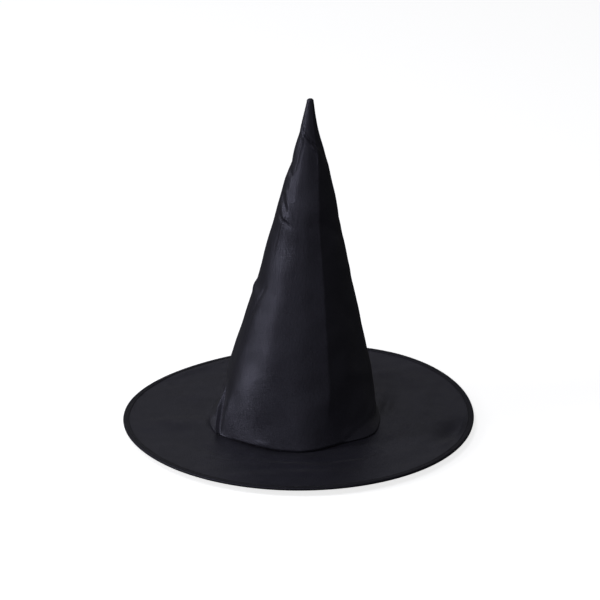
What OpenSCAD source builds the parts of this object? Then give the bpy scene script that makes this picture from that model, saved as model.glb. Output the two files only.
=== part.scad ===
// Pointed costume hat: a cloth cone sewn to a flat, wire-edged cloth brim.
// The origin is the centre of the brim's underside. +Z points up, +X to the wearer's left,
// and the crown's sewn seam runs up its back, at +Y.

/* [Overall] */
// Brim diameter over its bound edge
brim_d = 380; // [340:5:420]
// Height from the surface that it stands on to the tip
hat_h = 360; // [330:5:400]
// Diameter of the head opening
head_d = 182.8; // [170:0.2:190]
// How far the crown leans to one side, in degrees
crown_lean = 1.96; // [0:0.01:4]

/* [Crown] */
// Height along the crown of the fold where its upper half slouches
slouch_s = 195; // [170:5:210]
// Outer radius of the crown at that fold
slouch_r = 41.4; // [39:0.1:44]
// Height along the crown of the crease below its tip
crease_s = 290; // [270:5:300]
// Outer radius of the crown at that crease
crease_r = 18.8; // [17:0.1:20]
// Radius of the blunt, turned tip
tip_r = 2.3; // [2:0.1:3]

/* [Cloth and trim] */
// Thickness of the shell cloth
cloth_t = 0.5; // [0.3:0.1:0.6]
// Thickness of the stiff backing fused inside the crown
backing_t = 0.6; // [0.3:0.1:0.8]
// Thickness of the brim's interlining
interlining_t = 1.1; // [0.8:0.1:1.4]
// Thickness of the edge binding
binding_t = 0.5; // [0.4:0.1:0.6]
// Width of the edge binding on the face of the brim
binding_w = 5.6; // [5:0.1:8]
// Width of each pressed-open seam allowance
allowance_w = 9; // [6:0.5:12]
// Height of the tape that covers the head seam inside
tape_h = 18; // [12:1:25]
// Diameter of the sewing thread
thread_d = 0.3; // [0.2:0.05:0.4]

/* [Hoop] */
// Diameter of the spring wire in the brim's edge
wire_d = 1.6; // [1.2:0.1:1.8]
// Length of the crimped sleeve that joins the wire's ends
ferrule_l = 14; // [10:1:20]
// Wall of that sleeve
ferrule_wall = 0.2; // [0.15:0.05:0.25]

/* [Hidden] */

$fn = 96;
cloth_black = "#1d1c22";
lining_black = "#2a292e";
trim_black = "#131217";
thread_black = "#0d0c10";

// Levels through the brim, from the surface up.
brim_stack_t = 2 * cloth_t + interlining_t;
under_z = binding_t;
interlining_z = under_z + cloth_t;
top_cloth_z = interlining_z + interlining_t;
brim_top_z = under_z + brim_stack_t;

// The wire lies at the middle of the brim's thickness, inside the fold of the binding.
fold_r = brim_stack_t / 2 + binding_t;
cavity_r = fold_r - binding_t;
wire_z = fold_r;
wire_ring_r = brim_d / 2 - fold_r;
brim_cloth_r = wire_ring_r - cavity_r;
binding_inner_r = brim_d / 2 - binding_w;
binding_thread_r = binding_inner_r + 1;
hoop_gap = 1;
fit_gap = 0.02;
ferrule_wire_gap = 0.02;

head_r = head_d / 2;

// Crown levels are lengths s along its leaning axis, from the brim's top face.
crown_base_r = head_r + 2;
crown_l = (hat_h - brim_top_z) / cos(crown_lean);
tip_end_s = crown_l - tip_r;
fold_gap = 0.3;
tape_t = 0.5;
allowance_gap = 0.6;
tape_clearance = 0.5;
below_base = 8;
bar_tack_size = [1.6, 0.6, 5];
bar_tack_below_tip = 14;

// Outer radius of the crown at s, straight between its base, its two folds and its tip.
function crown_r(s) =
    s < slouch_s ? crown_base_r + (slouch_r - crown_base_r) * s / slouch_s
    : s < crease_s ? slouch_r + (crease_r - slouch_r) * (s - slouch_s) / (crease_s - slouch_s)
    : crease_r + (tip_r - crease_r) * (s - crease_s) / (tip_end_s - crease_s);

// The crown's own frame: its axis leans towards +X from the middle of the brim.
module on_crown() {
    translate([0, 0, brim_top_z]) rotate([0, crown_lean, 0]) children();
}

// One layer of the crown's wall from s0 to s1, from depth inset to depth inset + t.
module cone_layer(s0, s1, inset, t) {
    r0 = crown_r(s0) - inset;
    r1 = crown_r(s1) - inset;
    rotate_extrude() polygon([[r0 - t, s0], [r0, s0], [r1, s1], [r1 - t, s1]]);
}

// A layer that starts on the brim's flat top face.
module cone_layer_from_brim(s1, inset, t) {
    difference() {
        on_crown() cone_layer(-below_base, s1, inset, t);
        translate([-brim_d / 2, -brim_d / 2, brim_top_z - 3 * below_base])
            cube([brim_d, brim_d, 3 * below_base]);
    }
}

// A flat ring of cloth between two radii.
module ring_sheet(r_in, r_out, z, t) {
    translate([0, 0, z]) difference() {
        cylinder(h = t, r = r_out);
        translate([0, 0, -1]) cylinder(h = t + 2, r = r_in);
    }
}

// A round strand bent into a ring.
module strand_ring(ring_r, z, d) {
    rotate_extrude() translate([ring_r, z]) circle(d = d, $fn = 24);
}

// A straight strand laid up the inside of the crown's back at depth inset, from s0 to s1.
module back_strand(s0, s1, inset) {
    y0 = crown_r(s0) - inset;
    y1 = crown_r(s1) - inset;
    tilt = atan((y0 - y1) / (s1 - s0));
    translate([0, y0, s0]) rotate([tilt, 0, 0])
        cylinder(h = (s1 - s0) / cos(tilt), d = thread_d, $fn = 24);
}

// The two seam allowances, pressed open inside the back, from s0 to s1.
module seam_allowances(s0, s1) {
    inset = cloth_t + backing_t;
    for (side = [-1, 1])
        intersection() {
            cone_layer(s0, s1, inset, cloth_t);
            translate([side * (allowance_gap + allowance_w) / 2 - allowance_w / 2, 0, s0 - 1])
                cube([allowance_w, crown_base_r, s1 - s0 + 2]);
        }
}

module brim_top_cloth() {
    color(cloth_black) ring_sheet(head_r, brim_cloth_r, top_cloth_z, cloth_t);
}

module brim_interlining() {
    color(lining_black) ring_sheet(head_r, brim_cloth_r, interlining_z, interlining_t);
}

module brim_under_cloth() {
    color(cloth_black) ring_sheet(head_r, brim_cloth_r, under_z, cloth_t);
}

// One turn of spring wire, cut at the back.
module brim_hoop() {
    gap_deg = hoop_gap / wire_ring_r * 180 / PI;
    color("dimgray") rotate([0, 0, 90 + gap_deg / 2])
        rotate_extrude(angle = 360 - gap_deg) translate([wire_ring_r, wire_z])
            circle(d = wire_d, $fn = 32);
}

// A thin tube crimped over the wire's two ends.
module hoop_ferrule() {
    span_deg = ferrule_l / wire_ring_r * 180 / PI;
    bore_d = wire_d + 2 * ferrule_wire_gap;
    color("darkgray") rotate([0, 0, 90 - span_deg / 2])
        rotate_extrude(angle = span_deg) translate([wire_ring_r, wire_z]) difference() {
            circle(d = bore_d + 2 * ferrule_wall, $fn = 32);
            circle(d = bore_d, $fn = 32);
        }
}

// Groove that the binding's stitches pull into its face, open on the side of the sign given.
module stitch_groove(z, side) {
    groove_d = thread_d + 2 * fit_gap;
    translate([binding_thread_r, z]) {
        circle(d = groove_d, $fn = 24);
        translate([-groove_d / 2, side > 0 ? 0 : -groove_d]) square(groove_d);
    }
}

// Tape folded over the brim's edge and round the wire.
module edge_binding() {
    color(trim_black) rotate_extrude() difference() {
        union() {
            translate([wire_ring_r, wire_z]) circle(r = fold_r);
            translate([binding_inner_r, 0]) square([wire_ring_r - binding_inner_r, 2 * fold_r]);
        }
        translate([wire_ring_r, wire_z]) circle(r = cavity_r);
        translate([binding_inner_r - 1, binding_t])
            square([wire_ring_r - binding_inner_r + 1, brim_stack_t]);
        stitch_groove(thread_d / 2, -1);
        stitch_groove(2 * fold_r - thread_d / 2, 1);
    }
}

module binding_needle_thread() {
    color(thread_black) strand_ring(binding_thread_r, 2 * fold_r - thread_d / 2, thread_d);
}

module binding_bobbin_thread() {
    color(thread_black) strand_ring(binding_thread_r, thread_d / 2, thread_d);
}

// Tape that stands inside the crown and covers the raw edges of the head seam.
module head_seam_tape() {
    color(trim_black) cone_layer_from_brim(tape_h, cloth_t + backing_t, tape_t);
}

// Line of stitches through the tape, low on its inner face.
module head_seam_thread() {
    stitch_s = 5;
    stitch_r = crown_r(stitch_s) - cloth_t - backing_t - tape_t - thread_d / 2 - 0.05;
    color(thread_black) on_crown() strand_ring(stitch_r, stitch_s, thread_d);
}

module crown_cloth_lower() {
    color(cloth_black) cone_layer_from_brim(slouch_s - fold_gap / 2, 0, cloth_t);
}

module crown_backing_lower() {
    color(lining_black) cone_layer_from_brim(slouch_s - fold_gap / 2, cloth_t, backing_t);
}

module crown_seam_allowances_lower() {
    color(cloth_black) on_crown()
        seam_allowances(tape_h + tape_clearance, slouch_s - fold_gap / 2);
}

module crown_seam_thread_lower() {
    color(thread_black) on_crown() back_strand(tape_h + 1, slouch_s - 1,
        cloth_t + backing_t + thread_d / 2 + 0.05);
}

module crown_cloth_upper() {
    color(cloth_black) on_crown()
        cone_layer(slouch_s + fold_gap / 2, crease_s - fold_gap / 2, 0, cloth_t);
}

module crown_backing_upper() {
    color(lining_black) on_crown()
        cone_layer(slouch_s + fold_gap / 2, crease_s - fold_gap / 2, cloth_t, backing_t);
}

module crown_seam_allowances_upper() {
    color(cloth_black) on_crown()
        seam_allowances(slouch_s + fold_gap / 2, crease_s - fold_gap / 2);
}

module crown_seam_thread_upper() {
    color(thread_black) on_crown() back_strand(slouch_s + 1, crease_s - 1,
        cloth_t + backing_t + thread_d / 2 + 0.05);
}

// Closed point of the cone. The backing stops below it, so it is soft cloth alone.
module crown_cloth_tip() {
    s0 = crease_s + fold_gap / 2;
    inner_r = tip_r - cloth_t;
    color(cloth_black) on_crown() rotate_extrude() intersection() {
        difference() {
            union() {
                polygon([[0, s0], [crown_r(s0), s0], [tip_r, tip_end_s], [0, tip_end_s]]);
                translate([0, tip_end_s]) circle(r = tip_r, $fn = 48);
            }
            polygon([[0, s0 - 1], [crown_r(s0) - cloth_t, s0 - 1],
                [crown_r(s0) - cloth_t, s0], [inner_r, tip_end_s], [0, tip_end_s]]);
            translate([0, tip_end_s]) circle(r = inner_r, $fn = 48);
        }
        translate([0, s0]) square([crown_base_r, crown_l]);
    }
}

module crown_seam_thread_tip() {
    color(thread_black) on_crown() back_strand(crease_s + 1, tip_end_s - 8,
        cloth_t + thread_d / 2 + 0.05);
}

// Close zigzag of thread that locks the seam's end, on the back of the tip.
module tip_bar_tack() {
    s = tip_end_s - bar_tack_below_tip;
    slope = atan((crease_r - tip_r) / (tip_end_s - crease_s));
    color(thread_black) on_crown() translate([-bar_tack_size[0] / 2, crown_r(s), s])
        rotate([slope, 0, 0]) translate([0, 0.05, 0]) cube(bar_tack_size);
}

brim_top_cloth();
brim_interlining();
brim_under_cloth();
brim_hoop();
hoop_ferrule();
edge_binding();
binding_needle_thread();
binding_bobbin_thread();
head_seam_tape();
head_seam_thread();
crown_cloth_lower();
crown_backing_lower();
crown_seam_allowances_lower();
crown_seam_thread_lower();
crown_cloth_upper();
crown_backing_upper();
crown_seam_allowances_upper();
crown_seam_thread_upper();
crown_cloth_tip();
crown_seam_thread_tip();
tip_bar_tack();
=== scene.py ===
"""Pointed black hat: a soft cloth cone crown on a wire-edged cloth brim."""
import math

import bmesh
import bpy
import numpy as np
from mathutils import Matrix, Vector


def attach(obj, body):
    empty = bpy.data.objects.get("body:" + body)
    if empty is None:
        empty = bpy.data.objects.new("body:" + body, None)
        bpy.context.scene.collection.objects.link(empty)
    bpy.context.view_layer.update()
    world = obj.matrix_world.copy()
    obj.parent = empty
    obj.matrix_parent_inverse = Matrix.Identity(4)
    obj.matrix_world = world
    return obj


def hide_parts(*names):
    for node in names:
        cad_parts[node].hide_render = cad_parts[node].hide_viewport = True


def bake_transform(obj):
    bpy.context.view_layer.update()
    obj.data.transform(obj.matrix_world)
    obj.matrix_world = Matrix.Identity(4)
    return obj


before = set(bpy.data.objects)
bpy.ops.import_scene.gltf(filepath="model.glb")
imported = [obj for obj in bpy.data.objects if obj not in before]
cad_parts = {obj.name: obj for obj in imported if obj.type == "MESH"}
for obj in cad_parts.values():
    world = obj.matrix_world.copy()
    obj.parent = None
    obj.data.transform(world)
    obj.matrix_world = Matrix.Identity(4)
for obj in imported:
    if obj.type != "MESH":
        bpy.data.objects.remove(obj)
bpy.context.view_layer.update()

MM = 0.001
BRIM_R = 188.45  # from the centre to the middle of the edge wire
BRIM_LEVEL = 8.9  # mean height of the edge wire above the floor
SEAM_LEVEL = 4.7  # height of the brim's middle layer at the head seam
SEAM_SHIFT = -4.1  # the crown was sewn a little off centre
CLOTH = 0.5  # thicknesses, here and in the next four lines
INTERLINING = 1.1
BACKING = 0.6
HEAD_TAPE = 0.45
THREAD = 0.34
STACK = 2 * CLOTH + INTERLINING
UNDER_CLOTH = CLOTH + 0.06  # how far inside the crown's outer face its backing lies
UNDER_BACKING = UNDER_CLOTH + BACKING + 0.15  # and how far inside it the head seam's tape lies
WIRE_R = 0.8
SLEEVE_R = 1.02
SLEEVE_LONG = 14
STITCH_ROW = -3.25  # the binding's row of stitches, outward from the wire
SEAM_H = SEAM_LEVEL + STACK / 2 - BRIM_LEVEL  # the crown's base, in heights from the edge's mean
TIP_H = 360.0
JOIN_H = 262.0  # where the crown's lower sheet ends and its point begins


# ---- Small helpers -------------------------------------------------------------------------

def hump(x, width):
    """A smooth bump, 1 high at 0 and gone by about twice the width."""
    return np.exp(-((x / width) ** 2))


def ease(t):
    """Runs smoothly from 0 to 1 as t does."""
    t = np.clip(t, 0, 1)
    return t * t * (3 - 2 * t)


def turn(a, b):
    """The signed angle from b to a, in degrees."""
    return (a - b + 180) % 360 - 180


def along(table, at, soft=0.0):
    """Reads a table of (place, value), rounded off over the distance soft."""
    places, values = np.array(table, float).T
    if soft == 0:
        return np.interp(at, places, values)
    total = 0.0
    weights = 0.0
    for k in np.linspace(-1.6, 1.6, 9):
        w = math.exp(-k * k)
        total = total + w * np.interp(at + k * soft, places, values)
        weights += w
    return total / weights


def ripples(u, v, count, size, seed):
    """Smooth, seeded unevenness of about unit height over a surface measured in millimetres."""
    pick = np.random.default_rng(seed)
    total = 0.0
    for _ in range(count):
        way = pick.uniform(0, 2 * math.pi)
        wave = size * pick.uniform(0.6, 1.7)
        phase = pick.uniform(0, 2 * math.pi)
        total = total + np.sin((u * math.cos(way) + v * math.sin(way)) * 2 * math.pi / wave + phase)
    return total / math.sqrt(count)


# ---- Brim shape: millimetres, angles in degrees from the front, positive towards +X ----------

def edge_height(deg):
    """Height of the edge wire: the sprung hoop is warped like a saddle and tilts a little."""
    a = np.radians(np.asarray(deg, float) - 90)
    return BRIM_LEVEL + 2.9 * np.cos(a) + 3.4 * np.sin(2 * a) - 1.2 * np.cos(3 * a)


# The head seam's radius by angle: it is drawn into soft corners, with a fuller front.
SEAM = [(-180, 94), (-150, 93), (-118, 96.5), (-100, 93), (-84, 93.2), (-66, 95.6), (-57, 95.2),
        (-46, 90.8), (-37, 88), (-29, 87), (-20, 89.6), (-10, 92.6), (4, 94.2), (14, 93),
        (24, 89.6), (36, 87.6),
        (45, 90.5), (54, 95.3), (63, 97), (78, 94), (96, 93), (114, 96.5), (150, 93), (180, 94)]


def seam_radius(deg):
    return along(SEAM, turn(deg, 0), 1.8)


def polar(deg, r, shift=0.0):
    """Place at an angle and a distance from a centre shifted along X."""
    a = np.radians(deg)
    return shift + r * np.sin(a), -r * np.cos(a)


# Hollows and puckers in the brim: x, y, length, width, way in degrees, height.
BRIM_DENTS = [
    (168, -40, 30, 15, 66, -5.8), (160, -66, 20, 6, 52, 1.8), (97, 34, 24, 6, 80, -2.2),
    (-134, -20, 36, 18, 12, 3.4), (-104, 116, 50, 9, 36, -0.9), (-113, 137, 46, 7, 38, 2.4),
    (22, -113, 52, 4.5, 3, -0.5), (-34, -108, 36, 4.5, -14, -0.7), (-28, -121, 46, 5, -6, 0.55),
    (-6, -134, 60, 5, 2, -0.5), (54, -117, 28, 5, 18, 0.7), (66, -103, 22, 4, 26, -0.9),
    (-56, -116, 36, 5, -16, -0.6), (12, -148, 54, 6, 5, 0.5), (98, -62, 26, 8, 55, -1.2),
    (-116, 34, 30, 11, 80, -1.6), (30, 134, 50, 9, -12, -1.4), (-40, 150, 40, 8, 14, 1.1),
    (120, 92, 44, 13, -42, 1.6), (-60, -160, 40, 9, -24, 0.8), (118, -112, 38, 10, 40, -1.0),
    (-96, -84, 34, 12, -44, -1.4), (134, 40, 26, 14, 80, 1.4),
]


def brim_level(x, y, share, deg):
    """Height of the brim's middle layer; share runs from 0 at the head seam to 1 at the wire."""
    rise = share * (0.55 + 0.45 * share)
    level = SEAM_LEVEL + (edge_height(deg) - SEAM_LEVEL) * rise
    free = ease(share / 0.06) * ease((1 - share) / 0.12)  # both sewn edges stay put
    for cx, cy, long, wide, way, lift in BRIM_DENTS:
        c, s = math.cos(math.radians(way)), math.sin(math.radians(way))
        u, v = (x - cx) * c + (y - cy) * s, (y - cy) * c - (x - cx) * s
        level = level + free * lift * hump(u, long) * hump(v, wide)
    level = level + free * 0.2 * ripples(x, y, 14, 34, 5)
    return level


def brim_points(degs, shares, lift):
    """Points of one brim surface, lift millimetres above its middle layer."""
    deg, share = np.meshgrid(degs, shares)
    ax, ay = polar(deg, seam_radius(deg) - 1.9, SEAM_SHIFT)
    bx, by = polar(deg, np.full(deg.shape, BRIM_R - 1.05))
    x, y = ax + (bx - ax) * share, ay + (by - ay) * share
    return np.stack([x, y, brim_level(x, y, share, deg) + lift], axis=-1)


def edge_frame(degs):
    """Centre of the wire and the outward slope of the brim there, at each angle."""
    x, y = polar(degs, np.full(np.shape(degs), BRIM_R))
    z = edge_height(degs)
    slope = (z - SEAM_LEVEL) / (BRIM_R - 93.0) * 1.3
    return x, y, z, np.arctan(slope)


def edge_ring(degs, outward, upward):
    """Points at a place in the edge's cross-section, given outward and up from the wire."""
    x, y, z, tilt = edge_frame(degs)
    r = outward * np.cos(tilt) - upward * np.sin(tilt)
    a = np.radians(degs)
    return np.stack([x + r * np.sin(a), y - r * np.cos(a),
                     z + outward * np.sin(tilt) + upward * np.cos(tilt)], axis=-1)


# ---- Crown shape: heights from the mean level of the brim's edge ------------------------------

# By height: the outline's left and right, and the distance from the middle to the front or back.
LEFT = [(-6, -84.5), (11, -83), (24, -80.6), (52, -77.1), (66, -72.7), (85, -67), (113, -58.3),
        (134, -52), (145, -48.9), (150, -47.2), (155, -44.9), (161, -43.4), (189, -36.3), (216, -28.8),
        (243, -21.7), (270, -14.4), (280, -11.1), (290, -7.9), (303, -4.7), (316, -1), (323, 1.2),
        (330, 2.4), (343, 5.5), (356, 8.6), (362, 9.9)]
RIGHT = [(-6, 85), (11, 83.9), (24, 81.7), (52, 78.7), (66, 76.4), (85, 72), (113, 66.5),
         (134, 62), (161, 56.4), (189, 50.6), (216, 45.4), (243, 40.6), (270, 35.2), (290, 30.5),
         (303, 27), (316, 23), (330, 19.8), (343, 17.7), (356, 16), (362, 14.9)]
DEPTH = [(-6, 94), (4, 92.2), (14, 89.2), (26, 85.6), (52, 78), (85, 69.8), (134, 57),
         (189, 43.5), (243, 31.2), (290, 19.2), (316, 12), (330, 8.7), (343, 6.1), (356, 3.7),
         (362, 2.5)]

# Folds that run up the crown: angle by height, how sharp, and how flat the face after each is.
FOLDS = [
    ([(0, -112), (362, -112)], 0.020, [(0, 0.75), (100, 0.55), (165, 0.1), (362, 0.1)]),
    ([(0, -64), (24, -66), (60, -66), (150, -65), (362, -66)], 0.014,
     [(0, 0.25), (60, 0.35), (362, 0.3)]),
    ([(0, -42), (40, -45), (75, -50), (150, -52), (362, -52)], 0.006,
     [(0, 0.2), (50, 0.35), (90, 0.7), (362, 0.8)]),
    ([(0, -20), (40, -23), (75, -29), (100, -31), (150, -34), (210, -38), (238, -38), (262, -29),
      (290, -27), (362, -28)], 0.016, [(0, 0.2), (50, 0.3), (90, 0.6), (362, 0.6)]),
    ([(0, -7), (362, -8)], 0.030, [(0, 0.6), (60, 0.85), (362, 0.85)]),
    ([(0, 20), (25, 23), (60, 24.5), (200, 24), (235, 22), (262, 24), (290, 29), (303, 34),
      (362, 34)], 0.0035, [(0, 0.55), (362, 0.6)]),
    ([(0, 92), (362, 92)], 0.016, [(0, 0.35), (362, 0.3)]),
    ([(0, 148), (362, 150)], 0.020, [(0, 0.4), (362, 0.3)]),
    ([(0, -158), (362, -156)], 0.014, [(0, 0.45), (362, 0.3)]),
]

# The wall's radius at its foot, before it flares out to the head seam.
FOOT = [(-180, 91), (-150, 89.5), (-125, 86), (-110, 83), (-98, 82), (-80, 84), (-66, 88.4),
        (-58, 93.6), (-50, 91.2), (-43, 90.4), (-36, 90.4), (-28, 91.2), (-20, 92), (-12, 92.8),
        (-6, 93.2), (4, 93.6), (13, 92.8), (21, 91), (36, 87), (50, 85),
        (64, 86), (78, 87), (90, 88), (110, 88), (130, 88.5), (150, 89.5), (180, 91)]


def folded(deg, h):
    """How far each point is drawn in from a round cone by the flat faces between the folds."""
    mids, halves, flats, corners = [], [], [], []
    for k, (angle, sharp, flat) in enumerate(FOLDS):
        a = along(angle, h, 6)
        b = along(FOLDS[(k + 1) % len(FOLDS)][0], h, 6)
        width = (b - a) % 360
        mids.append(a + width / 2)
        halves.append(width / 2)
        flats.append(along(flat, h, 10))
        corners.append((a, sharp))
    soft = 0.0
    weight = 1e-9
    for a, sharp in corners:
        near = hump(turn(deg, a), 16) + 1e-6
        soft = soft + near * sharp
        weight = weight + near
    soft = soft / weight
    faces = []
    for m, half, flat in zip(mids, halves, flats):
        away = np.clip(np.abs(turn(deg, m)), 0, 78)
        face = 1 - flat * (1 - np.cos(np.radians(half)) / np.cos(np.radians(away)))
        faces.append(np.where(np.abs(turn(deg, m)) > 78, 3.0, face))
    faces = np.array(faces)
    low = faces.min(axis=0)
    return low - soft * np.log(np.exp(-(faces - low) / soft).sum(axis=0))


# Creases: from (angle, height) to (angle, height), width in mm, lift in mm, and the ends' fade.
CREASES = [
    # Below the tip, the point is folded down over the cone in a slanting tuck.
    (-36, 325, 20, 314, 1.3, -1.7, 5), (-30, 320, 16, 310, 2.4, 0.9, 6),
    (16, 313, 33, 301, 1.1, 0.7, 5), (33, 301, 33, 286, 1.0, 0.5, 8),
    (-34, 320, -46, 287, 1.6, 0.7, 6), (-84, 284, -62, 281, 2.6, -0.9, 5),
    (40, 318, 75, 300, 3.5, -0.7, 8),
    # The slouch fold's first dents, on the left front.
    (-50, 268, -40, 250, 2.6, 0.5, 6), (-68, 256, -50, 246, 2.6, -1.2, 5),
    (-56, 262, -44, 252, 2.0, 0.7, 4), (-58, 246, -48, 238, 2.6, 0.8, 4),
    (-58, 236, -36, 230, 2.2, -1.0, 5), (-46, 231, -49, 205, 1.8, 0.7, 7),
    (-44, 234, -16, 232, 16.0, 1.8, 12), (-22, 232, 18, 226, 7.0, -0.5, 10),
    (-30, 252, 14, 246, 6.0, 0.4, 10),
    # Pressed edges on the left: the highlight's sharp side and the dark strip behind it.
    (-58, 152, -66, 126, 3.0, -0.6, 8), (-66, 126, -64, 88, 3.0, -0.4, 12),
    (-104, 148, -78, 150, 5.0, 1.1, 6), (-38, 66, -36, 67.5, 1.6, 0.35, 2),
    # Right face and back.
    (44, 150, 70, 120, 9.0, -0.6, 14), (52, 70, 84, 52, 8.0, 0.6, 12),
    (38, 228, 70, 214, 5.0, -0.5, 8), (60, 180, 96, 168, 7.0, 0.5, 10),
    (108, 226, 168, 214, 5.5, -1.7, 9), (112, 218, 160, 206, 5.0, 0.9, 8),
    (190, 236, 236, 220, 5.0, -1.3, 8), (120, 150, 158, 96, 8.0, -1.3, 16),
    (200, 120, 232, 60, 9.0, -1.5, 16), (140, 44, 172, 26, 6.0, -1.2, 10),
    (196, 60, 224, 34, 6.0, 1.0, 10), (128, 286, 176, 278, 3.2, -1.0, 6),
    (-140, 300, -100, 292, 3.0, -0.8, 6),
    # Folds that the head seam draws up into the crown's base.
    (-25, 4, -19, 3, 2.4, 0.6, 3),
    (40, 5, 76, 16, 5.0, 0.8, 6), (46, 3, 66, 6, 1.2, 0.45, 3), (54, 0, 74, 3, 1.2, 0.45, 3),
    (96, 10, 122, 14, 4.0, 1.0, 6), (150, 12, 176, 9, 3.5, -1.0, 6), (-150, 10, -118, 12, 4, 1.2, 6),
]


def from_line(u, v, u0, v0, u1, v1):
    """Distance from a line and how far past its ends, in the same units."""
    du, dv = u1 - u0, v1 - v0
    long = math.hypot(du, dv)
    s = ((u - u0) * du + (v - v0) * dv) / long
    off = ((u - u0) * dv - (v - v0) * du) / long
    return off, np.maximum(np.maximum(-s, s - long), 0)


def crown_grid(degs, heights):
    """Angle and height of every point; low down, the columns lean with the pleat's crest."""
    deg, h = np.meshgrid(degs, heights)
    return deg - 0.42 * np.clip(h, 0, 46) * ease((90 - h) / 44) * hump(turn(deg, -59), 26), h


def crown_points(degs, heights, inset=0.0):
    """Points of the crown's outer face at every height (rows) and angle (columns)."""
    deg, h = crown_grid(degs, heights)
    left, right = along(LEFT, h, 2.5), along(RIGHT, h, 4)
    middle, half = (left + right) / 2, (right - left) / 2
    shape = folded(deg, h)
    depth = along(DEPTH, h, 4)
    x = shape * np.sin(np.radians(deg))
    y = -depth * shape * np.cos(np.radians(deg)) * 1.02
    # The faces are let out again until the sides reach their places.
    ring_deg, ring_h = np.meshgrid(np.arange(-180, 180, 1.0), heights)
    ring = folded(ring_deg, ring_h) * np.sin(np.radians(ring_deg))
    x = middle + half * np.where(x < 0, x / -ring.min(axis=1)[:, None], x / ring.max(axis=1)[:, None])
    # Low down, the wall takes the head seam's squarer shape.
    narrow = 0.0014 + 0.0019 * np.cos(np.radians(deg)) ** 2 - 0.0014 * hump(turn(deg, -46), 18)
    narrow = narrow * np.maximum(h, 0)
    out = along(FOOT, turn(deg, 0), 1.8) * (1 - narrow)
    bx, by = polar(deg, out, SEAM_SHIFT * (1 - h / 60))
    top = 54 + 30 * hump(turn(deg, -44), 24)
    low = ease((top - h) / (top - 10))
    x, y = x + (bx - x) * low, y + (by - y) * low
    # Creases, measured on the cloth.
    lift = 0.0
    for d0, h0, d1, h1, width, rise, fade in CREASES:
        mean_r = float(along(DEPTH, (h0 + h1) / 2))
        u = math.radians(1) * mean_r * turn(deg, (d0 + d1) / 2)
        u0 = math.radians(1) * mean_r * turn(d0, (d0 + d1) / 2)
        off, past = from_line(u, h, u0, h0, -u0, h1)
        lift = lift + rise * hump(off, width) * hump(past, fade)
    lift = lift + 0.28 * ripples(depth * np.radians(turn(deg, 0)), h, 16, 46, 3) * ease(depth / 20)
    # A pleat stands out at the left front corner of the base, steep on its front side, and behind
    # it the cloth swells once more.
    pleat = np.radians(turn(deg, -59 - 0.42 * np.maximum(h, 0))) * 92
    swell = 2.4 * hump(pleat + 38, 8.0) * ease((30 - h) / 20)
    crest = 6.8 * np.where(pleat > 0, hump(pleat, 1.1), hump(pleat, 7.0))
    lift = lift + crest * ease((46 - h) / 26) + swell
    # The back seam: a narrow valley with a slight pucker each side.
    across = np.radians(turn(deg, 180)) * depth
    pucker = np.sin(h * 2 * math.pi / 7.0 + np.sign(across) * 0.9)
    lift = lift - 1.0 * hump(across, 0.9) + (0.4 + 0.12 * pucker) * hump(np.abs(across) - 3.2, 2.2)
    a = np.radians(deg)
    x, y = x + lift * np.sin(a), y - lift * np.cos(a)
    # The base runs out to the head seam; how high it stands off depends on the side.
    sx, sy = polar(deg, seam_radius(deg) - 0.6, SEAM_SHIFT)
    reach = 0.7 + 4.6 * hump(turn(deg, -90), 24) * ease((-57 - turn(deg, 0)) / 4)
    reach = reach + 4.6 * hump(turn(deg, 64), 19)
    reach = reach + 2.4 * hump(turn(deg, 150), 30)
    stay = np.exp(-((np.maximum(h - SEAM_H - 1.8, 0) / reach) ** 1.25))
    x, y = x + (sx - x) * stay, y + (sy - y) * stay
    # The sewn edge itself is rolled in under the wall.
    tuck = 1.1 * hump(h - SEAM_H, 1.2)
    x, y = x - tuck * np.sin(a), y + tuck * np.cos(a)
    # The tip closes over a blunt end.
    close = np.sqrt(np.clip(1 - ((h - (TIP_H - 2.6)) / 2.6).clip(0, 1) ** 2, 0, 1))
    cx = along(LEFT, h, 2.5) / 2 + along(RIGHT, h, 4) / 2
    x, y = cx + (x - cx) * close, y * close
    points = np.stack([x, y, h + BRIM_LEVEL], axis=-1)
    return points if inset == 0 else points - inset * normals(points)


def normals(points):
    """Outward normals of a grid that closes on itself round the crown."""
    du = np.roll(points, -1, axis=1) - np.roll(points, 1, axis=1)
    dv = np.gradient(points, axis=0)
    n = np.cross(du, dv)
    return n / np.maximum(np.linalg.norm(n, axis=-1, keepdims=True), 1e-9)


def cone_cut(degs, heights):
    """Where each point lies on the flat cut of the cone, in metres, for the weave."""
    deg, h = crown_grid(degs, heights)
    slope = math.radians(14.6)
    slant = (372 - h) / math.cos(slope)
    a = np.radians(turn(deg, 0)) * math.sin(slope)
    return np.stack([slant * np.sin(a), -slant * np.cos(a)], axis=-1) * MM


# ---- Meshes ----------------------------------------------------------------------------------

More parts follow.
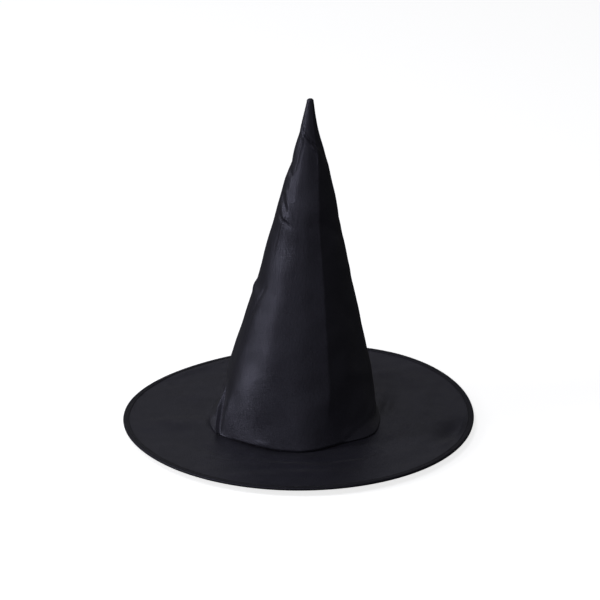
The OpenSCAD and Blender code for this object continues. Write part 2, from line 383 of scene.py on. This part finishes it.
def sheet_mesh(name, points, round_it=True, cut=None, cap=False):
    """A sheet from rows of points in millimetres, with its flat cut as a UV map."""
    rows, columns = points.shape[:2]
    co = (points.reshape(-1, 3) * MM).tolist()
    span = columns if round_it else columns - 1
    faces = []
    for i in range(rows - 1):
        for j in range(span):
            k = (j + 1) % columns
            a, b = i * columns, (i + 1) * columns
            faces.append((a + j, a + k, b + k, b + j))
    if cap:
        co.append((points[-1].mean(axis=0) * MM).tolist())
        last = (rows - 1) * columns
        faces += [(last + j, last + (j + 1) % columns, len(co) - 1) for j in range(columns)]
    mesh = bpy.data.meshes.new(name)
    mesh.from_pydata(co, [], faces)
    mesh.update()
    if cut is not None:
        flat = cut.reshape(-1, 2)
        if cap:
            flat = np.vstack([flat, flat[-1:]])
        uv = mesh.uv_layers.new(name="cloth")
        for poly in mesh.polygons:
            spot = [np.array(flat[v]) for v in poly.vertices]
            if max(abs(p[0] - spot[0][0]) for p in spot) > 0.05:
                # The cloth's two edges meet here, at the back seam.
                spot = [np.array((-abs(p[0]), p[1])) for p in spot]
            for loop, p in zip(poly.loop_indices, spot):
                uv.data[loop].uv = p
    mesh.shade_smooth()
    piece = bpy.data.objects.new(name, mesh)
    bpy.context.scene.collection.objects.link(piece)
    return piece


def thicken(piece, t, offset=-1.0):
    """Gives a sheet its thickness."""
    solid = piece.modifiers.new("thickness", "SOLIDIFY")
    solid.thickness = t * MM
    solid.offset = offset
    solid.use_even_offset = False
    bpy.ops.object.select_all(action="DESELECT")
    bpy.context.view_layer.objects.active = piece
    piece.select_set(True)
    bpy.ops.object.modifier_apply(modifier=solid.name)
    bpy.ops.object.shade_smooth_by_angle(angle=math.radians(60))
    return piece


def strands(name, paths, d, sides=6):
    """Short round stitches, each a run of centre points in millimetres with pinched ends."""
    co, faces = [], []
    for path in paths:
        path = np.asarray(path, float)
        way = path[-1] - path[0]
        way /= np.linalg.norm(way)
        up = np.array([0, 0, 1.0]) if abs(way[2]) < 0.8 else np.array([0, 1.0, 0])
        side = np.cross(way, up)
        side /= np.linalg.norm(side)
        up = np.cross(side, way)
        start = len(co)
        for i, p in enumerate(path):
            r = d / 2 * (0.45 if i in (0, len(path) - 1) else 1.0)
            for k in range(sides):
                a = 2 * math.pi * k / sides
                co.append(((p + r * (math.cos(a) * side + math.sin(a) * up)) * MM).tolist())
        for i in range(len(path) - 1):
            for k in range(sides):
                a, b = start + i * sides + k, start + i * sides + (k + 1) % sides
                faces.append((a, b, b + sides, a + sides))
        faces.append(tuple(start + k for k in range(sides))[::-1])
        end = start + (len(path) - 1) * sides
        faces.append(tuple(end + k for k in range(sides)))
    mesh = bpy.data.meshes.new(name)
    mesh.from_pydata(co, [], faces)
    mesh.update()
    mesh.shade_smooth()
    piece = bpy.data.objects.new(name, mesh)
    bpy.context.scene.collection.objects.link(piece)
    tidy_normals(piece)
    return piece


def tidy_normals(piece):
    """Turns every face of a piece outwards."""
    bpy.ops.object.select_all(action="DESELECT")
    bpy.context.view_layer.objects.active = piece
    piece.select_set(True)
    bpy.ops.object.mode_set(mode="EDIT")
    bpy.ops.mesh.select_all(action="SELECT")
    bpy.ops.mesh.normals_make_consistent(inside=False)
    bpy.ops.object.mode_set(mode="OBJECT")


def ring_mesh(name, rings):
    """A folded tape that closes on itself: each ring follows one corner of its cross-section."""
    points = np.stack(rings)
    rows, columns = points.shape[:2]
    co = (points.reshape(-1, 3) * MM).tolist()
    faces = []
    for i in range(rows):
        for j in range(columns):
            k, n = (j + 1) % columns, (i + 1) % rows
            faces.append((i * columns + j, i * columns + k, n * columns + k, n * columns + j))
    mesh = bpy.data.meshes.new(name)
    mesh.from_pydata(co, [], faces)
    mesh.update()
    mesh.shade_smooth()
    piece = bpy.data.objects.new(name, mesh)
    bpy.context.scene.collection.objects.link(piece)
    tidy_normals(piece)
    return piece


# ---- Materials -------------------------------------------------------------------------------

def new_material(name):
    """A material with its nodes, its links and its main shader."""
    m = bpy.data.materials.new(name)
    m.use_nodes = True
    nodes, links = m.node_tree.nodes, m.node_tree.links
    return m, nodes, links, nodes["Principled BSDF"]


def number(nodes, links, kind, a, b=None):
    """One step of arithmetic between sockets or plain numbers."""
    n = nodes.new("ShaderNodeMath")
    n.operation = kind
    for socket, value in zip(n.inputs, (a, b)):
        if value is None:
            continue
        if isinstance(value, (int, float)):
            socket.default_value = value
        else:
            links.new(value, socket)
    return n.outputs[0]


def noise(nodes, links, vector, scale, detail=3.0, rough=0.5):
    n = nodes.new("ShaderNodeTexNoise")
    n.inputs["Scale"].default_value = scale
    n.inputs["Detail"].default_value = detail
    n.inputs["Roughness"].default_value = rough
    links.new(vector, n.inputs["Vector"])
    return n.outputs["Fac"]


def ramp(nodes, links, fac, stops):
    n = nodes.new("ShaderNodeValToRGB")
    while len(n.color_ramp.elements) < len(stops):
        n.color_ramp.elements.new(0.5)
    for e, (at, colour) in zip(n.color_ramp.elements, stops):
        e.position = at
        e.color = (*colour, 1)
    links.new(fac, n.inputs["Fac"])
    return n.outputs["Color"]


def spread(nodes, links, fac, low, high):
    """Spreads a noise's middle range over low to high."""
    n = nodes.new("ShaderNodeMapRange")
    n.inputs["From Min"].default_value = 0.3
    n.inputs["From Max"].default_value = 0.7
    n.inputs["To Min"].default_value = low
    n.inputs["To Max"].default_value = high
    links.new(fac, n.inputs["Value"])
    return n.outputs["Result"]


def stretched(nodes, links, vector, scale, *rest):
    """Noise drawn out along one way of the cloth, like thick and thin threads."""
    stretch = nodes.new("ShaderNodeMapping")
    stretch.inputs["Scale"].default_value = scale
    links.new(vector, stretch.inputs["Vector"])
    return noise(nodes, links, stretch.outputs["Vector"], *rest)


def woven_cloth(name, uv, dark, light, rough=(0.34, 0.43), pitch=0.00042, shine=0.62):
    """Plain-woven polyester: over-and-under threads, thick and thin ones, a soft uneven sheen."""
    m, nodes, links, shader = new_material(name)
    body = nodes.new("ShaderNodeTexCoord").outputs["Object"]
    place = body
    if uv:
        source = nodes.new("ShaderNodeUVMap")
        source.uv_map = "cloth"
        place = source.outputs["UV"]
    split = nodes.new("ShaderNodeSeparateXYZ")
    links.new(place, split.inputs["Vector"])
    k = math.pi / pitch
    warp = number(nodes, links, "SINE", number(nodes, links, "MULTIPLY", split.outputs["X"], k))
    weft = number(nodes, links, "SINE", number(nodes, links, "MULTIPLY", split.outputs["Y"], k))
    cross = number(nodes, links, "MULTIPLY", warp, weft)
    thick_weft = stretched(nodes, links, place, (90, 1100, 90), 1, 2)
    thick_warp = stretched(nodes, links, place, (1100, 90, 90), 1, 2)
    threads = number(nodes, links, "ADD", thick_weft, thick_warp)
    grain = noise(nodes, links, place, 750, 2)
    height = number(nodes, links, "ADD", number(nodes, links, "MULTIPLY", cross, 0.5),
                    number(nodes, links, "MULTIPLY", number(nodes, links, "ADD", threads, grain), 1.6))
    crumple = nodes.new("ShaderNodeBump")
    crumple.inputs["Strength"].default_value = 0.25
    crumple.inputs["Distance"].default_value = 0.0012
    links.new(noise(nodes, links, body, 55, 3, 0.5), crumple.inputs["Height"])
    bump = nodes.new("ShaderNodeBump")
    bump.inputs["Strength"].default_value = 0.6
    bump.inputs["Distance"].default_value = 0.00010
    links.new(height, bump.inputs["Height"])
    links.new(crumple.outputs["Normal"], bump.inputs["Normal"])
    links.new(bump.outputs["Normal"], shader.inputs["Normal"])
    broad = noise(nodes, links, body, 26, 4, 0.55)
    tone = number(nodes, links, "ADD", number(nodes, links, "MULTIPLY", broad, 0.5),
                  number(nodes, links, "MULTIPLY", threads, 0.25))
    links.new(ramp(nodes, links, tone, [(0.38, dark), (0.62, light)]), shader.inputs["Base Color"])
    uneven = number(nodes, links, "ADD", number(nodes, links, "MULTIPLY", grain, 0.5),
                    number(nodes, links, "MULTIPLY", noise(nodes, links, body, 60, 3), 0.5))
    links.new(spread(nodes, links, uneven, *rough), shader.inputs["Roughness"])
    shader.inputs["Specular IOR Level"].default_value = shine
    shader.inputs["Specular Tint"].default_value = (0.8, 0.79, 1.0, 1)
    shader.inputs["Sheen Weight"].default_value = 0.06
    shader.inputs["Sheen Roughness"].default_value = 0.4
    return m


def plain_thread(name, colour):
    """Twisted sewing thread."""
    m, nodes, links, shader = new_material(name)
    place = nodes.new("ShaderNodeTexCoord").outputs["Object"]
    twist = nodes.new("ShaderNodeTexWave")
    twist.bands_direction = "DIAGONAL"
    twist.inputs["Scale"].default_value = 900
    links.new(place, twist.inputs["Vector"])
    bump = nodes.new("ShaderNodeBump")
    bump.inputs["Strength"].default_value = 0.5
    bump.inputs["Distance"].default_value = 0.00004
    links.new(twist.outputs["Fac"], bump.inputs["Height"])
    links.new(bump.outputs["Normal"], shader.inputs["Normal"])
    tone = ramp(nodes, links, noise(nodes, links, place, 300), [
        (0.3, tuple(c * 0.8 for c in colour)), (0.7, tuple(c * 1.3 for c in colour))])
    links.new(tone, shader.inputs["Base Color"])
    shader.inputs["Roughness"].default_value = 0.55
    shader.inputs["Sheen Weight"].default_value = 0.2
    return m


def felted(name, dark, light):
    """Non-woven backing: pressed fibres with a grid of tiny bonding dots."""
    m, nodes, links, shader = new_material(name)
    place = nodes.new("ShaderNodeTexCoord").outputs["Object"]
    fibres = noise(nodes, links, place, 700, 6, 0.7)
    dots = nodes.new("ShaderNodeTexVoronoi")
    dots.inputs["Scale"].default_value = 520
    links.new(place, dots.inputs["Vector"])
    height = number(nodes, links, "ADD", fibres, dots.outputs["Distance"])
    bump = nodes.new("ShaderNodeBump")
    bump.inputs["Strength"].default_value = 0.5
    bump.inputs["Distance"].default_value = 0.00015
    links.new(height, bump.inputs["Height"])
    links.new(bump.outputs["Normal"], shader.inputs["Normal"])
    links.new(ramp(nodes, links, fibres, [(0.35, dark), (0.65, light)]), shader.inputs["Base Color"])
    shader.inputs["Roughness"].default_value = 0.85
    shader.inputs["Sheen Weight"].default_value = 0.15
    return m


def drawn_wire(name, colour, rough):
    """Bare metal, finely uneven in colour and polish."""
    m, nodes, links, shader = new_material(name)
    place = nodes.new("ShaderNodeTexCoord").outputs["Object"]
    fine = noise(nodes, links, place, 600, 4, 0.6)
    links.new(ramp(nodes, links, fine, [(0.35, tuple(c * 0.8 for c in colour)), (0.65, colour)]),
              shader.inputs["Base Color"])
    links.new(spread(nodes, links, fine, *rough), shader.inputs["Roughness"])
    shader.inputs["Metallic"].default_value = 1.0
    return m


crown_black = woven_cloth("black crown cloth", True,
                          (0.0125, 0.0118, 0.017), (0.0185, 0.0178, 0.0245))
brim_black = woven_cloth("black brim cloth", False,
                         (0.0115, 0.0110, 0.0178), (0.0175, 0.0168, 0.0262))
binding_black = woven_cloth("black binding tape", False,
                            (0.0068, 0.0064, 0.0096), (0.0108, 0.0103, 0.0150),
                            rough=(0.45, 0.56), pitch=0.0003, shine=0.42)
thread_black = plain_thread("black sewing thread", (0.012, 0.0115, 0.014))
backing_dark = felted("dark fused backing", (0.018, 0.018, 0.02), (0.035, 0.035, 0.038))
interlining_dark = felted("dark stiff interlining", (0.025, 0.025, 0.027), (0.045, 0.045, 0.048))
wire_steel = drawn_wire("drawn spring steel", (0.42, 0.42, 0.43), (0.25, 0.4))
ferrule_steel = drawn_wire("plated ferrule steel", (0.6, 0.6, 0.6), (0.2, 0.35))


def finish_piece(piece, material):
    """Gives a piece its one material."""
    piece.data.materials.clear()
    piece.data.materials.append(material)
    return piece


# ---- Columns and rows ------------------------------------------------------------------------

def close_columns(count, spots):
    """Angles round the hat, closer together near the sharp folds and the seam."""
    fine = np.linspace(-180, 180, 7201)
    density = 1.0
    for at, width, more in spots:
        density = density + more * hump(turn(fine, at), width)
    total = np.concatenate([[0], np.cumsum((density[1:] + density[:-1]) / 2)])
    return np.interp(np.arange(count) / count * total[-1], total, fine)


def close_rows(low, high, step, spots):
    """Heights from low to high, closer together near the heights given."""
    fine = np.linspace(low, high, 4001)
    density = 1.0 / step
    for at, width, more in spots:
        density = density + more * hump(fine - at, width)
    total = np.concatenate([[0], np.cumsum((density[1:] + density[:-1]) / 2)])
    return np.interp(np.linspace(0, total[-1], int(total[-1] * (fine[1] - fine[0])) + 2), total, fine)


crown_degs = close_columns(330, [(26, 5, 2.0), (-58.7, 1.6, 8.0), (-50, 10, 0.4), (180, 3, 5.0),
                                 (-180, 3, 5.0)])
lower_rows = close_rows(SEAM_H, JOIN_H, 2.4, [(SEAM_H + 3, 9, 1.0), (60, 8, 0.1), (232, 24, 0.22),
                                              (JOIN_H, 3, 0.8)])
upper_rows = close_rows(JOIN_H, TIP_H, 1.3, [(JOIN_H, 3, 0.6), (318, 12, 0.7), (TIP_H, 3, 2.5)])

# ---- Crown -----------------------------------------------------------------------------------

crown = sheet_mesh("crown_cloth", crown_points(crown_degs, lower_rows), True,
                   cone_cut(crown_degs, lower_rows))
thicken(crown, CLOTH)
finish_piece(crown, crown_black)
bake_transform(crown)
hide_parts("crown_cloth_lower", "crown_cloth_upper")

point = sheet_mesh("crown_point", crown_points(crown_degs, upper_rows), True,
                   cone_cut(crown_degs, upper_rows), cap=True)
thicken(point, CLOTH)
finish_piece(point, crown_black)
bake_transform(point)
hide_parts("crown_cloth_tip")

backing_rows = np.concatenate([lower_rows[lower_rows > SEAM_H + 1][::2], [JOIN_H]])
backing_degs = crown_degs[::2]
backing_points = crown_points(backing_degs, backing_rows, inset=UNDER_CLOTH)
backing = sheet_mesh("crown_backing", backing_points, True, cone_cut(backing_degs, backing_rows))
thicken(backing, BACKING)
finish_piece(backing, backing_dark)
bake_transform(backing)
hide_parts("crown_backing_lower", "crown_backing_upper")


def inner_strip(name, low, high, near, far, inset, t, step=3.0):
    """A strip laid inside the back of the crown, from near to far millimetres off its seam."""
    across = np.linspace(near, far, 6)
    rows = []
    for h in np.arange(low, high + step / 2, step):
        degs = 180 + np.degrees(across / float(along(DEPTH, h)))
        spots = np.linspace(degs.min() - 0.2, degs.max() + 0.2, 41)
        grid = crown_points(spots, np.array([h - 0.6, h, h + 0.6]))
        n = np.cross(np.gradient(grid, axis=1), np.gradient(grid, axis=0))
        n /= np.linalg.norm(n, axis=-1, keepdims=True)
        out_of = grid[1] - [grid[1, :, 0].mean(), 0, 0]
        line = grid[1] - inset * n[1] * np.sign((n[1] * out_of).sum(-1, keepdims=True))
        rows.append(np.stack([np.interp(degs, spots, line[:, k]) for k in range(3)], axis=-1))
    piece = sheet_mesh(name, np.stack(rows), False)
    tidy_normals(piece)
    return thicken(piece, t, 0.0)


allowances = [inner_strip(f"crown_seam_allowance_{side}", 24, 262, s * 0.5, s * 9.2, 1.55, CLOTH)
              for side, s in (("left", -1), ("right", 1))]
for strip in allowances:
    finish_piece(strip, crown_black)
    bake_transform(strip)
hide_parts("crown_seam_allowances_lower")
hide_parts("crown_seam_allowances_upper")


def seam_stitches(name, low, high, inset):
    """The back seam's stitches, seen inside between the allowances."""
    paths = []
    h = low
    while h + 2.2 < high:
        rows = crown_points(np.array([179.0, 180.0, 181.0]), np.array([h, h + 0.7, h + 1.5, h + 2.2]))
        spine = rows[:, 1].copy()
        spine[:, 1] -= inset
        spine[[0, -1], 1] += 0.15
        paths.append(spine)
        h += 2.9
    return strands(name, paths, THREAD)


crown_stitches = seam_stitches("crown_seam_stitches", 26, 262, 1.5)
finish_piece(crown_stitches, thread_black)
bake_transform(crown_stitches)
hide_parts("crown_seam_thread_lower", "crown_seam_thread_upper")

point_stitches = seam_stitches("crown_point_stitches", 264, 344, 1.0)
finish_piece(point_stitches, thread_black)
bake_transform(point_stitches)
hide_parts("crown_seam_thread_tip")

# Bar tack on the back of the tip: a close zigzag over the end of the seam.
tack_paths = []
for i in range(11):
    h = 341 + i * 0.5
    back = crown_points(np.array([179.0, 180.0, 181.0]), np.array([h]))[0, 1]
    tack_paths.append([back + [-0.9, -0.1, 0], back + [-0.5, 0.9, 0.1], back + [0.5, 0.9, 0.15],
                       back + [0.9, -0.1, 0.25]])
tack = strands("tip_bar_tack_stitches", tack_paths, 0.36)
finish_piece(tack, thread_black)
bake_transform(tack)
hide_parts("tip_bar_tack")

# ---- Brim ------------------------------------------------------------------------------------

brim_degs = close_columns(320, [(-50, 30, 0.4), (40, 40, 0.3)])
shares = np.concatenate([np.linspace(0, 0.5, 34)[:-1], np.linspace(0.5, 1, 26)])

# Each brim layer: name, height of its top face, thickness, finish, slot, node, how it is held and
# what it rests on.
brim_parts = [
    ("brim_under_sheet", -INTERLINING / 2 - 0.03, CLOTH - 0.03, brim_black, "shell_cloth",
     "brim_under_cloth", "stretched", "edge_hoop_wire"),
    ("brim_stiffener", INTERLINING / 2, INTERLINING, interlining_dark, "interlining",
     "brim_interlining", "laid", "brim_under_sheet"),
    ("brim_top_sheet", INTERLINING / 2 + CLOTH, CLOTH - 0.03, brim_black, "shell_cloth",
     "brim_top_cloth", "stretched", "brim_stiffener"),
]
for name, lift, t, material, slot, node, held, under in brim_parts:
    piece = sheet_mesh(name, brim_points(brim_degs, shares, lift)[::-1])
    thicken(piece, t, -1.0)
    finish_piece(piece, material)
    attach(piece, "hat_base")
    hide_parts(node)

# ---- Edge wire and its joining sleeve ----------------------------------------------------------

def shape(piece, mode="VERT"):
    """Opens a piece for shaping with nothing selected."""
    if bpy.context.object and bpy.context.object.mode == "EDIT":
        bpy.ops.object.mode_set(mode="OBJECT")
    bpy.ops.object.select_all(action="DESELECT")
    bpy.context.view_layer.objects.active = piece
    piece.select_set(True)
    bpy.ops.object.mode_set(mode="EDIT")
    bpy.ops.mesh.select_mode(type=mode)
    bpy.ops.mesh.select_all(action="DESELECT")
    return bmesh.from_edit_mesh(piece.data)


def name_piece(name):
    """Names the piece just added and settles its place in its mesh."""
    piece = bpy.context.active_object
    piece.name = piece.data.name = name
    bpy.ops.object.transform_apply(location=True, rotation=True, scale=True)
    return piece


def side_deg(co):
    """The angle of a place round the hat, in degrees from the front."""
    return math.degrees(math.atan2(co.x, -co.y))


def spring_up(piece, key, inward=None):
    """Lifts each slice of a piece made level at the brim's edge to the edge's own height there."""
    mesh = shape(piece)
    slices = {}
    for v in mesh.verts:
        slices.setdefault(round(key(v.co), 2), []).append(v)
    for ring in slices.values():
        for v in ring:
            v.select_set(True)
        deg = sum(side_deg(v.co) % 360 for v in ring) / len(ring)
        back = 0 if inward is None else inward(ring[0].co.x)
        bpy.ops.transform.translate(value=(0, back, float(edge_height(deg)) * MM))
        for v in ring:
            v.select_set(False)
    bpy.ops.object.mode_set(mode="OBJECT")


bpy.ops.object.select_all(action="DESELECT")
bpy.ops.mesh.primitive_torus_add(major_radius=BRIM_R * MM, minor_radius=WIRE_R * MM,
                                 major_segments=360, minor_segments=12,
                                 rotation=(0, 0, math.radians(0.5)))
hoop = name_piece("edge_hoop_wire")
# The wire is cut at the back, and its two ends are closed 1 mm apart.
mesh = shape(hoop, "FACE")
for f in mesh.faces:
    f.select_set(abs(turn(side_deg(f.calc_center_median()), 180)) < 0.3)
bpy.ops.mesh.delete(type="FACE")
for way in (-1, 1):
    mesh = shape(hoop, "EDGE")
    for e in mesh.edges:
        e.select_set(e.is_boundary and (e.verts[0].co.x + e.verts[1].co.x) * way > 0.002)
    bpy.ops.mesh.extrude_region_move(TRANSFORM_OT_translate={"value": (-way * 1.14 * MM, 0, 0)})
    bpy.ops.mesh.edge_face_add()
bpy.ops.object.mode_set(mode="OBJECT")
spring_up(hoop, side_deg)
tidy_normals(hoop)
bpy.ops.object.shade_smooth_by_angle(angle=math.radians(50))
finish_piece(hoop, wire_steel)
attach(hoop, "hat_base")
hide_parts("brim_hoop")

bpy.ops.object.select_all(action="DESELECT")
bpy.ops.mesh.primitive_cylinder_add(vertices=20, radius=SLEEVE_R * MM, depth=SLEEVE_LONG * MM,
                                    location=(0, BRIM_R * MM, 0), rotation=(0, math.pi / 2, 0))
sleeve = name_piece("hoop_joining_sleeve")
# Each mouth is recessed round the wire, and each half of the sleeve is crimped once.
shape(sleeve, "FACE")
for cut in (-6.6, -5.0, -4.5, -3.95, -3.4, -2.9, -1.5, 0, 1.5, 2.9, 3.4, 3.95, 4.5, 5.0, 6.6):
    bpy.ops.mesh.select_all(action="SELECT")
    bpy.ops.mesh.bisect(plane_co=(cut * MM, 0, 0), plane_no=(1, 0, 0))
for way in (-1, 1):
    mesh = shape(sleeve, "FACE")
    for f in mesh.faces:
        f.select_set(f.normal.x * way > 0.9)
    bpy.ops.mesh.inset(thickness=0.17 * MM)
    bpy.ops.mesh.extrude_region_move(TRANSFORM_OT_translate={"value": (-way * 0.5 * MM, 0, 0)})
for at, size in ((-3.95, 0.9), (3.95, 0.9), (-3.4, 0.96), (3.4, 0.96), (-4.5, 0.96), (4.5, 0.96)):
    mesh = shape(sleeve)
    for v in mesh.verts:
        v.select_set(abs(v.co.x - at * MM) < 0.0001)
    bpy.ops.transform.resize(value=(1, size, size), center_override=(at * MM, BRIM_R * MM, 0))
bpy.ops.object.mode_set(mode="OBJECT")
spring_up(sleeve, lambda co: co.x / MM,
          lambda x: math.sqrt((BRIM_R * MM) ** 2 - x * x) - BRIM_R * MM)
tidy_normals(sleeve)
bpy.ops.object.shade_smooth_by_angle(angle=math.radians(50))
finish_piece(sleeve, ferrule_steel)
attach(sleeve, "hat_base")
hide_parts("hoop_ferrule")

# Edge binding: tape folded round the wire, puckered between its stitches.
PITCH = 2.6
stitch_count = int(2 * math.pi * (BRIM_R - 3) / PITCH)
binding_degs = np.arange(stitch_count * 4) * 360 / (stitch_count * 4)
puff = 0.14 * np.cos(np.radians(binding_degs) * stitch_count)
wave = 0.22 * ripples(binding_degs * 3.2, binding_degs * 0, 8, 40, 11)


def binding_profile():
    """Cross-section of the folded tape, outward and up from the wire, with the pucker's share."""
    outer = [(-5.0, 1.12, 0.3), (-4.85, 1.6, 1.0), (-4.2, 1.64, 1.0), (-3.6, 1.44, 0.2),
             (STITCH_ROW, 1.34, -0.4), (-2.9, 1.44, 0.2), (-2.3, 1.62, 1.0), (-1.1, 1.66, 0.6),
             (0, 1.60, 0.3), (0.8, 1.36, 0.2), (1.34, 0.8, 0.1), (1.56, 0, 0)]
    inner = [(-1.0, -1.10, 0), (0.55, -0.85, 0), (1.05, 0, 0), (0.55, 0.85, 0), (-1.0, 1.10, 0)]
    return outer + [(o, -u, p) for o, u, p in outer[::-1][1:]] + inner


rings = []
for outward, upward, share in binding_profile():
    side = np.sign(upward)
    out = outward - (wave if outward < -4.5 else 0.0)
    rings.append(edge_ring(binding_degs, out, upward + side * share * puff))
binding = ring_mesh("brim_edge_binding", rings)
finish_piece(binding, binding_black)
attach(binding, "hat_base")
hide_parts("edge_binding")


def edge_stitches(name, outward, upward, sign):
    """One row of stitches round the binding; their ends dip into the cloth."""
    paths = []
    for i in range(stitch_count):
        mid = (i + 0.5) * 360 / stitch_count
        half = math.degrees(1.05 / BRIM_R)
        degs = np.array([mid - half, mid - half * 0.6, mid + half * 0.6, mid + half])
        ends = np.array([-0.22, 0.06, 0.06, -0.22]) * sign
        paths.append(edge_ring(degs, np.full(4, outward), upward + ends))
    return strands(name, paths, 0.32, 5)


for name, sign, node in (("binding_top_stitches", 1, "binding_needle_thread"),
                         ("binding_under_stitches", -1, "binding_bobbin_thread")):
    piece = edge_stitches(name, STITCH_ROW, sign * 1.38, sign)
    finish_piece(piece, thread_black)
    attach(piece, "hat_base")
    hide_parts(node)

# ---- Head seam -------------------------------------------------------------------------------

tape_degs = np.arange(0, 360, 1.25)
tape_up = crown_points(tape_degs, np.linspace(SEAM_H + 0.3, SEAM_H + 18, 13), inset=UNDER_BACKING)
ax, ay = polar(tape_degs, seam_radius(tape_degs) - 2.3, SEAM_SHIFT)
wrap = [np.stack([ax, ay, np.full(ax.shape, SEAM_LEVEL + z)], axis=-1) for z in (-1.5, -0.5, 0.6)]
fx, fy = polar(tape_degs, seam_radius(tape_degs) + 3.0, SEAM_SHIFT)
foot = np.stack([fx, fy, np.full(fx.shape, SEAM_LEVEL - 1.5)], axis=-1)
to_wrap = np.stack([ax, ay, tape_up[0, :, 2]], axis=-1) - tape_up[0]
tape_up[:4] = tape_up[:4] + to_wrap * np.array([1, 0.6, 0.25, 0.05])[:, None, None]
tape = sheet_mesh("head_seam_binding", np.concatenate([[foot], wrap, tape_up]))
thicken(tape, HEAD_TAPE, -1.0)
finish_piece(tape, binding_black)
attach(tape, "hat_base")
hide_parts("head_seam_tape")

head_count = 196
spine = crown_points(np.arange(head_count * 4) * 360 / (head_count * 4),
                     np.array([SEAM_H + 4.8, SEAM_H + 5.0, SEAM_H + 5.2]), inset=UNDER_BACKING + 0.55)[1]
head_paths = [spine[i * 4:i * 4 + 4] for i in range(head_count)]
head_stitches = strands("head_seam_stitches", head_paths, THREAD)
finish_piece(head_stitches, thread_black)
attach(head_stitches, "hat_base")
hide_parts("head_seam_thread")

# ---- Floor, light and camera -----------------------------------------------------------------

bpy.ops.mesh.primitive_plane_add(size=14, location=(0, 0, 0))
floor = bpy.context.active_object
floor.name = "studio_floor"
paper, nodes, links, shader = new_material("white paper")
shader.inputs["Base Color"].default_value = (0.86, 0.86, 0.86, 1)
shader.inputs["Roughness"].default_value = 0.9
shader.inputs["Specular IOR Level"].default_value = 0.1
shader.inputs["Emission Color"].default_value = (1, 1, 1, 1)
shader.inputs["Emission Strength"].default_value = 0.78
# Black flags keep the paper's glow off the dark cloth: only the camera sees it white.
flagged = nodes.new("ShaderNodeBsdfDiffuse")
flagged.inputs["Color"].default_value = (0.06, 0.06, 0.06, 1)
seen = nodes.new("ShaderNodeLightPath")
either = nodes.new("ShaderNodeMixShader")
links.new(seen.outputs["Is Camera Ray"], either.inputs["Fac"])
links.new(flagged.outputs["BSDF"], either.inputs[1])
links.new(shader.outputs["BSDF"], either.inputs[2])
links.new(either.outputs["Shader"], nodes["Material Output"].inputs["Surface"])
floor.data.materials.append(paper)


def soft_box(name, side, up, away, size, power):
    """A soft box aimed at the hat: side is its angle from the front (positive right), up its height."""
    a, e = math.radians(side), math.radians(up)
    place = Vector((away * math.cos(e) * math.sin(a), -away * math.cos(e) * math.cos(a),
                    away * math.sin(e) + 0.05))
    lamp = bpy.data.lights.new(name, "AREA")
    lamp.shape = "RECTANGLE"
    lamp.size, lamp.size_y = size
    lamp.energy = power
    lamp.color = (0.93, 0.94, 1.0)
    box = bpy.data.objects.new(name, lamp)
    box.location = place
    box.rotation_euler = (Vector((0, 0, 0.1)) - place).to_track_quat("-Z", "Y").to_euler()
    bpy.context.scene.collection.objects.link(box)


soft_box("key_soft_box", -75, 22, 2.6, (0.4, 2.0), 21)
soft_box("high_soft_box", -28, 60, 2.6, (0.9, 0.9), 12)
soft_box("left_soft_box", -120, 30, 2.6, (0.9, 0.9), 6)
soft_box("back_soft_box", 180, 35, 2.6, (0.9, 0.9), 1.1)
soft_box("front_fill_box", -9, 14, 2.8, (1.0, 1.6), 4.7)
soft_box("right_fill_box", 50, 16, 2.8, (1.0, 1.6), 1.3)

world = bpy.context.scene.world or bpy.data.worlds.new("studio")
bpy.context.scene.world = world
world.use_nodes = True
w_nodes, w_links = world.node_tree.nodes, world.node_tree.links
sky = w_nodes["Background"]
sky.inputs["Color"].default_value = (1, 1, 1, 1)
sky_path = w_nodes.new("ShaderNodeLightPath")
glow = number(w_nodes, w_links, "MAXIMUM", sky_path.outputs["Is Camera Ray"], 0.07)
w_links.new(glow, sky.inputs["Strength"])
bpy.context.scene.view_settings.view_transform = "Standard"

camera_data = bpy.data.cameras.new("camera")
camera_data.lens = 182
camera_data.sensor_width = 36
camera = bpy.data.objects.new("camera", camera_data)
camera.location = (0.0016, -3.0083, 1.3394 + BRIM_LEVEL * MM)
camera.rotation_euler = (math.radians(90 - 21.838), 0, 0)
bpy.context.scene.collection.objects.link(camera)
bpy.context.scene.camera = camera
